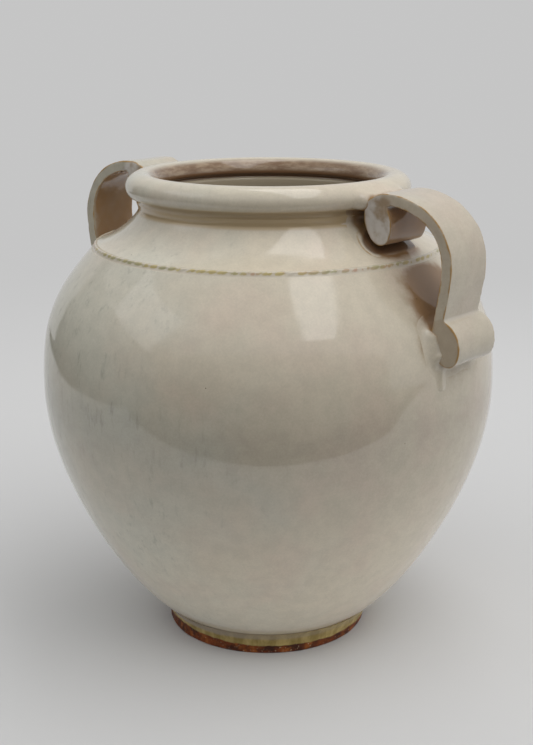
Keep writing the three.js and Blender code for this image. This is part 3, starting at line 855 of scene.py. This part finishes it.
def makeLuting(name, node, plan, tree, sizes, line, runs=()):
    s = lutingSizes
    half = handleSizes["width"] / 2 + s["side"]
    lift = plan["lift"] * sizes["follow"]
    track = walked(line, sizes["from"] + lift, sizes["to"] + lift, s["grain"])
    rows = len(track) - 1
    columns = round(2 * half / s["grain"])
    bm = bmesh.new()
    bmesh.ops.create_grid(bm, x_segments=rows, y_segments=columns, size=1)
    turn = Matrix.Rotation(math.radians(plan["turn"]), 3, "Z")
    laid = []
    for vert in bm.verts:
        row = round((vert.co.x + 1) / 2 * rows)
        across = vert.co.y * half * mm
        place, out = track[row]
        swing = Matrix.Rotation(math.asin(across / place.x), 3, "Z")
        edge = min(row, rows - row, (1 - abs(vert.co.y)) * columns / 2) * s["grain"]
        ground = uneven(turn @ (swing @ place))
        near, normal, _, distance = tree.find_nearest(ground)
        buried = (ground - near).dot(normal) < 0
        gap = 0.0 if buried else distance / mm
        wobble = 1 + s["wobble"] * noise.noise(ground / (s["wobbleLength"] * mm))
        rise = lutingRise(gap, sizes["fillet"] * wobble)
        rise += sum(runRise(run, plan, place, across) for run in runs)
        rise = min(rise, sizes["fillet"]) - s["sink"] - s["edgeSink"] * (1 - eased(edge / s["edgeFade"]))
        way = turn @ (swing @ out)
        if buried:
            rise = min(rise, tree.ray_cast(ground, way)[3] / mm - s["overlap"])
        # painted shade, near-black, in the crevice where the upper roll meets the pot, only below the given
        # height
        low = sizes["creviceShade"] * eased((sizes["creviceShadeTop"] - ground.z / mm) / 5)
        creviceShade = low * eased((sizes["creviceShadeReach"] - gap) / 0.9 + 0.5)
        edging = low * math.exp(-((gap - sizes["creviceShadeReach"] - 1.2) / 0.6) ** 2)
        laid.append((ground + way * rise * mm, creviceShade, edging))
    for vert, (place, _, _) in zip(bm.verts, laid):
        vert.co = place
    bmesh.ops.recalc_face_normals(bm, faces=bm.faces)
    bm.faces.ensure_lookup_table()
    probe = bm.faces[0].calc_center_median()
    if bm.faces[0].normal.dot(Vector((probe.x, probe.y, 0))) < 0:
        bmesh.ops.reverse_faces(bm, faces=bm.faces)
    smoothAll(bm, s["smoothing"])
    markGlaze(bm, 8, 0.9)
    markPaintedShade(bm, surroundings, sizes["paintedShade"])
    dark, thin = bm.verts.layers.float.new("creviceShade"), bm.verts.layers.float["thin"]
    for vert, (_, creviceShade, edging) in zip(bm.verts, laid):
        vert[dark] = creviceShade
        vert[thin] = max(vert[thin], edging * s["edging"])
    bmesh.ops.solidify(bm, geom=list(bm.faces), thickness=s["thick"] * mm)
    addPiece(name, bm, node, glaze, sharp=60)


upperLine = collarOutline() + rimOutline()
makeLuting("lutingRightUpper", "luting_right_upper", rightHandle, rightTree, upperLuting, upperLine)
makeLuting("lutingRightLower", "luting_right_lower", rightHandle, rightTree, lowerLuting,
           bellyOutline(), [glazeRun])
makeLuting("lutingLeftUpper", "luting_left_upper", leftHandle, leftTree, upperLuting, upperLine)
makeLuting("lutingLeftLower", "luting_left_lower", leftHandle, leftTree, lowerLuting, bellyOutline())


# Handles last, since the lutings are laid round their shapes

paleBelow = {"height": 238, "fade": 6, "facing": 0.15, "spread": 0.35}


def finishHandle(name, node, shape):
    markPaintedShade(shape, surroundings)
    paintedShade = shape.verts.layers.float["paintedShade"]
    p = paleBelow
    for vert in shape.verts:
        # no painted shade on the outer and upper sides of the lower roll
        outward = vert.normal.x * (1 if vert.co.x > 0 else -1)
        low = eased((p["height"] - vert.co.z / mm) / p["fade"])
        vert[paintedShade] *= 1 - low * eased((max(outward, vert.normal.z) - p["facing"]) / p["spread"])
    addPiece(name, shape, node, handleGlazePaintedDarker, sharp=80)


finishHandle("handleRight", "handle_right", rightShape)
finishHandle("handleLeft", "handle_left", leftShape)
print("pot ready")


# Camera

def makeCamera():
    s = cameraSetup
    data = bpy.data.cameras.new("camera")
    data.lens = s["lens"]
    data.sensor_width = s["sensor"]
    data.shift_x = s["shift"]
    camera = bpy.data.objects.new("camera", data)
    bpy.context.scene.collection.objects.link(camera)
    angle = math.radians(cameraAngle)
    place = (math.cos(angle) * s["distance"], math.sin(angle) * s["distance"], s["height"])
    camera.location = Vector(place) * mm
    camera.rotation_euler = (math.radians(90 - s["pitch"]), 0, math.radians(s["azimuth"]))
    bpy.context.scene.camera = camera


makeCamera()


# Studio: a pale floor that fades into an even backdrop, soft panels and a dim room in front

studio = {"backdrop": (0.56, 0.56, 0.56, 1), "floor": (0.60, 0.60, 0.60, 1), "floorRadius": 2.4,
          "fadeFrom": 0.45, "fadeTo": 1.3, "lampsFrom": 0.17}
# the dim room, in metres from the pot: its near edges in front and at the left, and how far it reaches
roomSizes = {"front": 0.36, "left": -0.85, "right": 2.4, "back": -1.3, "radius": 1.4, "tall": 1.0,
             "dark": 0.02, "pale": 0.3, "darkUpTo": 0.05}
# soft light from the whole room: which way it comes from, seen from the pot, and how strong
glows = [
    {"right": 0, "up": 30, "level": 1.47},
    {"right": 90, "up": 20, "level": 0.94},
    {"right": 180, "up": 20, "level": 0.46},
    {"right": -90, "up": 20, "level": 0.33},
]
# lamps: where each hangs, in metres to the right, to the front and up, and how far it is turned
panels = [
    {"name": "ceilingLight", "place": (0.42, 0.38, 1.35), "turn": 20.4, "wide": 0.5, "tall": 2.3,
     "watts": 5.9, "flat": True},
    {"name": "leftPanel", "place": (-1.29, 0.27, 0.87), "wide": 1.0, "tall": 0.8, "watts": 1.55},
]


def seenRays(tree):
    path = addNode(tree, "LightPath")
    either = calc(tree, "MAXIMUM", path.outputs["Is Camera Ray"], path.outputs["Is Glossy Ray"])
    return calc(tree, "MAXIMUM", either, path.outputs["Is Transmission Ray"])


def studioWay(right, up):
    angle = math.radians(cameraAngle + right)
    level = math.cos(math.radians(up))
    return Vector((math.cos(angle) * level, math.sin(angle) * level, math.sin(math.radians(up))))


def makeWorld():
    world = bpy.data.worlds.new("studio")
    world.use_nodes = True
    bpy.context.scene.world = world
    tree = world.node_tree
    tree.nodes.clear()
    direction = addNode(tree, "TexCoord").outputs["Generated"]
    level = 0.0
    for glow in glows:
        values = {0: direction, 1: studioWay(glow["right"], glow["up"])}
        facing = addNode(tree, "VectorMath", {"operation": "DOT_PRODUCT"}, values).outputs["Value"]
        spread = calc(tree, "POWER", calc(tree, "MAXIMUM", facing), 1.5)
        level = calc(tree, "ADD", calc(tree, "MULTIPLY", spread, glow["level"]), level)
    light = addNode(tree, "CombineColor", values={0: level, 1: level, 2: level}).outputs[0]
    colour = mixed(tree, seenRays(tree), light, studio["backdrop"])
    background = addNode(tree, "Background", values={"Color": colour, "Strength": 1.0})
    output = addNode(tree, "OutputWorld")
    tree.links.new(background.outputs[0], output.inputs["Surface"])


def makeFloor():
    material, tree, place = startMaterial("paleFloor")
    paper = addNode(tree, "BsdfDiffuse", values={"Color": studio["floor"]})
    glow = addNode(tree, "Emission", values={"Color": studio["backdrop"], "Strength": 1.0})
    distance = addNode(tree, "VectorMath", {"operation": "LENGTH"}, {0: place}).outputs["Value"]
    far = between(tree, distance, studio["fadeFrom"], studio["fadeTo"])
    share = calc(tree, "MULTIPLY", far, seenRays(tree))
    blend = addNode(tree, "MixShader", values={0: share, 1: paper.outputs[0], 2: glow.outputs[0]})
    endMaterial(tree, blend)
    bm = bmesh.new()
    bmesh.ops.create_circle(bm, cap_ends=True, segments=96, radius=studio["floorRadius"])
    mesh = bpy.data.meshes.new("floor")
    bm.to_mesh(mesh)
    bm.free()
    mesh.materials.append(material)
    floor = bpy.data.objects.new("floor", mesh)
    bpy.context.scene.collection.objects.link(floor)


def makePanel(panel):
    data = bpy.data.lights.new(panel["name"], "AREA")
    data.shape = "RECTANGLE"
    data.size = panel["wide"]
    data.size_y = panel["tall"]
    data.energy = panel["watts"]
    lamp = bpy.data.objects.new(panel["name"], data)
    right, front, up = panel["place"]
    toCamera, toRight = studioWay(0, 0), studioWay(90, 0)
    way = toCamera * front + toRight * right + Vector((0, 0, up))
    lamp.location = Vector((0, 0, studio["lampsFrom"])) + way
    if panel.get("flat"):
        lamp.rotation_euler = (0, 0, math.radians(cameraAngle + 90 + panel["turn"]))
    else:
        lamp.rotation_euler = way.to_track_quat("Z", "Y").to_euler()
    bpy.context.scene.collection.objects.link(lamp)


def makeRoom():
    # the unlit room in front of the table, which shows as a soft dark band in the glaze
    material, tree, place = startMaterial("dimRoom")
    s = roomSizes
    height = addNode(tree, "SeparateXYZ", values={0: place}).outputs["Z"]
    level = between(tree, height, s["darkUpTo"], s["tall"], s["dark"], s["pale"])
    colour = addNode(tree, "CombineColor", values={0: level, 1: level, 2: level}).outputs[0]
    endMaterial(tree, addNode(tree, "Emission", values={"Color": colour, "Strength": 1.0}))
    bm = bmesh.new()
    near = [(s["front"], s["right"]), (s["front"], s["left"]), (s["back"], s["left"])]
    far = [(s["radius"], s["right"]), (s["radius"], -s["radius"]), (s["back"], -s["radius"])]
    lines = [[(*corner, mm) for corner in near], [(*corner, mm) for corner in far],
             [(*corner, s["tall"]) for corner in far]]
    rows = [[bm.verts.new(place) for place in line] for line in lines]
    chains = [[bm.edges.new(pair) for pair in zip(row, row[1:])] for row in rows]
    for low, high in zip(chains, chains[1:]):
        bmesh.ops.bridge_loops(bm, edges=low + high)
    bmesh.ops.rotate(bm, matrix=Matrix.Rotation(math.radians(cameraAngle), 3, "Z"), verts=bm.verts)
    mesh = bpy.data.meshes.new("dimRoom")
    bm.to_mesh(mesh)
    bm.free()
    mesh.materials.append(material)
    room = bpy.data.objects.new("dimRoom", mesh)
    bpy.context.scene.collection.objects.link(room)
    room.visible_camera = False
    room.visible_transmission = False
    room.visible_shadow = False
    room.visible_volume_scatter = False


makeWorld()
makeFloor()
for panel in panels:
    makePanel(panel)
makeRoom()
bpy.context.scene.view_settings.view_transform = "Standard"
print("studio ready")
